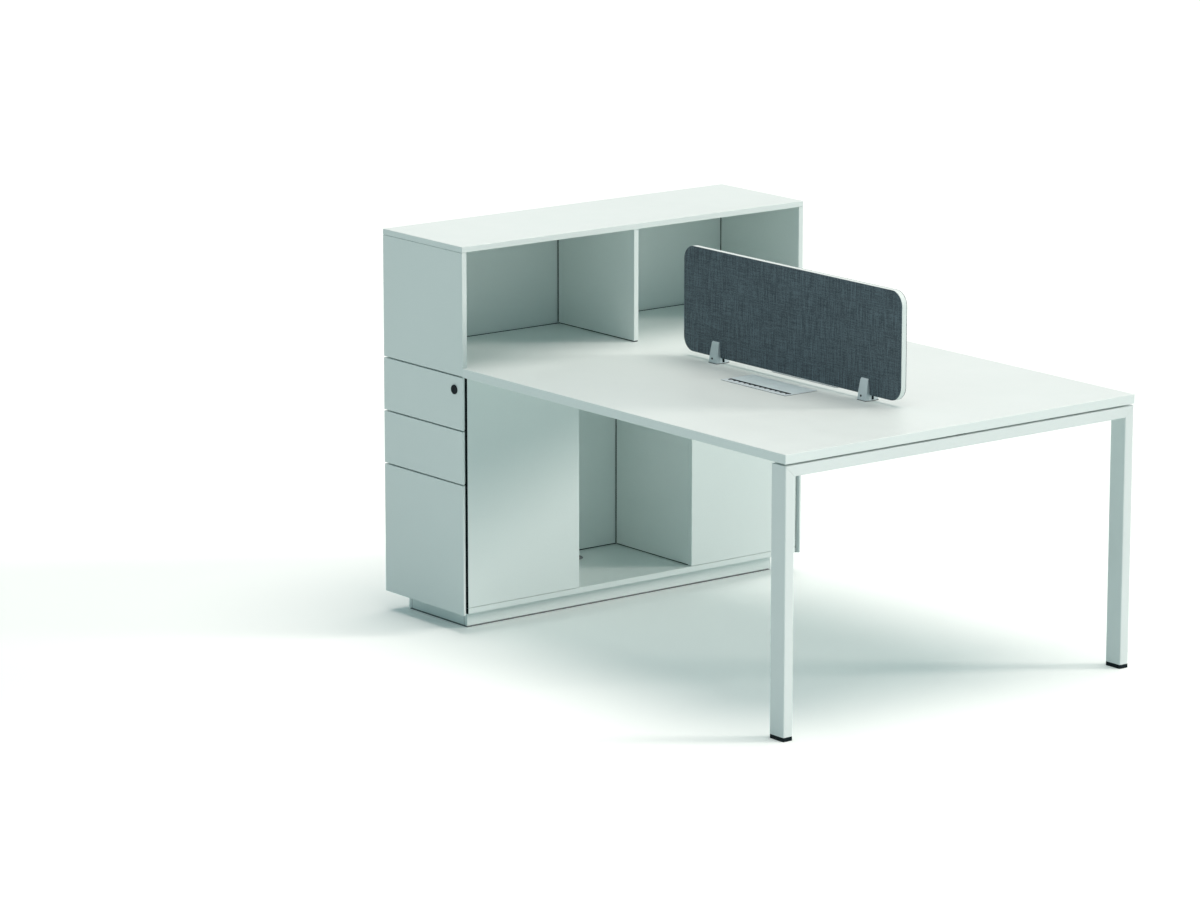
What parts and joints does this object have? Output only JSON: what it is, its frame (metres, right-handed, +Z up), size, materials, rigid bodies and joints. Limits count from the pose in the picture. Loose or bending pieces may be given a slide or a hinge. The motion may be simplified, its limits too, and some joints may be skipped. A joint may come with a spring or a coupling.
{
  "type": "bench desk",
  "caption": "White bench desk for facing seats: worktop on a drawer cabinet with hutch and on a tube leg frame, a charcoal fabric screen on clamps, and flush power boxes with lids.",
  "frame": {"origin": "on the floor, below the middle of the whole desk", "axes": "+X from the cabinet to the leg frame, +Y from the near seat to the far seat, +Z up"},
  "size_m": [1.725, 1.2056, 1.078],
  "materials": {
    "white_board": "satin white melamine-faced board",
    "drawer_board": "pale grey melamine-faced board",
    "white_steel": "fine white powder coat",
    "black_plastic": "matt black moulded plastic",
    "grey_plastic": "matt grey moulded plastic",
    "zinc_steel": "zinc plated",
    "cast_aluminium": "satin silver casting",
    "silver_plate": "fine satin anodised",
    "charcoal_fabric": "matt woven cloth"
  },
  "bodies": {
    "desk": {"plinth": "white_board", "bottom_board": "white_board", "back_panel": "white_board", "floor_grommet": "grey_plastic", "hutch_divider": "white_board", "hutch_top": "white_board", "worktop": "white_board", "cross_beam": "white_steel", "top_spacer": "black_plastic", "screen_core": "white_board", "screen_bracket_left": "cast_aluminium", "screen_bracket_right": "cast_aluminium", "partition_near": "white_board", "pedestal_side_near": "white_board", "hutch_end_near": "white_board", "leg_near": "white_steel", "rail_near": "white_steel", "foot_near": "black_plastic", "screen_pad_near": "charcoal_fabric", "power_box_near": "silver_plate", "cable_comb_near": "silver_plate", "socket_block_near": "grey_plastic", "pen_runner_back_near": "zinc_steel", "pen_runner_seat_near": "zinc_steel", "box_runner_back_near": "zinc_steel", "box_runner_seat_near": "zinc_steel", "file_runner_back_near": "zinc_steel", "file_runner_seat_near": "zinc_steel", "partition_far": "white_board", "pedestal_side_far": "white_board", "hutch_end_far": "white_board", "leg_far": "white_steel", "rail_far": "white_steel", "foot_far": "black_plastic", "screen_pad_far": "charcoal_fabric", "power_box_far": "silver_plate", "cable_comb_far": "silver_plate", "socket_block_far": "grey_plastic", "pen_runner_back_far": "zinc_steel", "pen_runner_seat_far": "zinc_steel", "box_runner_back_far": "zinc_steel", "box_runner_seat_far": "zinc_steel", "file_runner_back_far": "zinc_steel", "file_runner_seat_far": "zinc_steel"},
    "pen_drawer_near": {"pen_front_near": "white_board", "pen_drawer_near": "drawer_board"},
    "box_drawer_near": {"box_front_near": "white_board", "box_drawer_near": "drawer_board"},
    "file_drawer_near": {"file_front_near": "white_board", "file_drawer_near": "drawer_board"},
    "lock_near": {"lock_near": "black_plastic"},
    "power_lid_near": {"power_lid_near": "silver_plate"},
    "pen_drawer_far": {"pen_front_far": "white_board", "pen_drawer_far": "drawer_board"},
    "box_drawer_far": {"box_front_far": "white_board", "box_drawer_far": "drawer_board"},
    "file_drawer_far": {"file_front_far": "white_board", "file_drawer_far": "drawer_board"},
    "lock_far": {"lock_far": "black_plastic"},
    "power_lid_far": {"power_lid_far": "silver_plate"}
  },
  "joints": [
    {"name": "pen_slide_near", "type": "slide", "parent": "desk", "child": "pen_drawer_near", "axis": [0, -1, 0], "range_m": [0, 0.26]},
    {"name": "box_slide_near", "type": "slide", "parent": "desk", "child": "box_drawer_near", "axis": [0, -1, 0], "range_m": [0, 0.26]},
    {"name": "file_slide_near", "type": "slide", "parent": "desk", "child": "file_drawer_near", "axis": [0, -1, 0], "range_m": [0, 0.26]},
    {"name": "lock_turn_near", "type": "hinge", "parent": "pen_drawer_near", "child": "lock_near", "pos_m": [-0.534, -0.6, 0.6815], "axis": [0, -1, 0], "range_deg": [0, 90]},
    {"name": "power_lid_hinge_near", "type": "hinge", "parent": "desk", "child": "power_lid_near", "pos_m": [0.1825, -0.0441, 0.74555], "axis": [-1, 0, 0], "range_deg": [0, 100]},
    {"name": "pen_slide_far", "type": "slide", "parent": "desk", "child": "pen_drawer_far", "axis": [0, 1, 0], "range_m": [0, 0.26]},
    {"name": "box_slide_far", "type": "slide", "parent": "desk", "child": "box_drawer_far", "axis": [0, 1, 0], "range_m": [0, 0.26]},
    {"name": "file_slide_far", "type": "slide", "parent": "desk", "child": "file_drawer_far", "axis": [0, 1, 0], "range_m": [0, 0.26]},
    {"name": "lock_turn_far", "type": "hinge", "parent": "pen_drawer_far", "child": "lock_far", "pos_m": [-0.534, 0.6, 0.6815], "axis": [0, 1, 0], "range_deg": [0, 90]},
    {"name": "power_lid_hinge_far", "type": "hinge", "parent": "desk", "child": "power_lid_far", "pos_m": [0.1825, 0.0441, 0.74555], "axis": [1, 0, 0], "range_deg": [0, 100]}
  ]
}
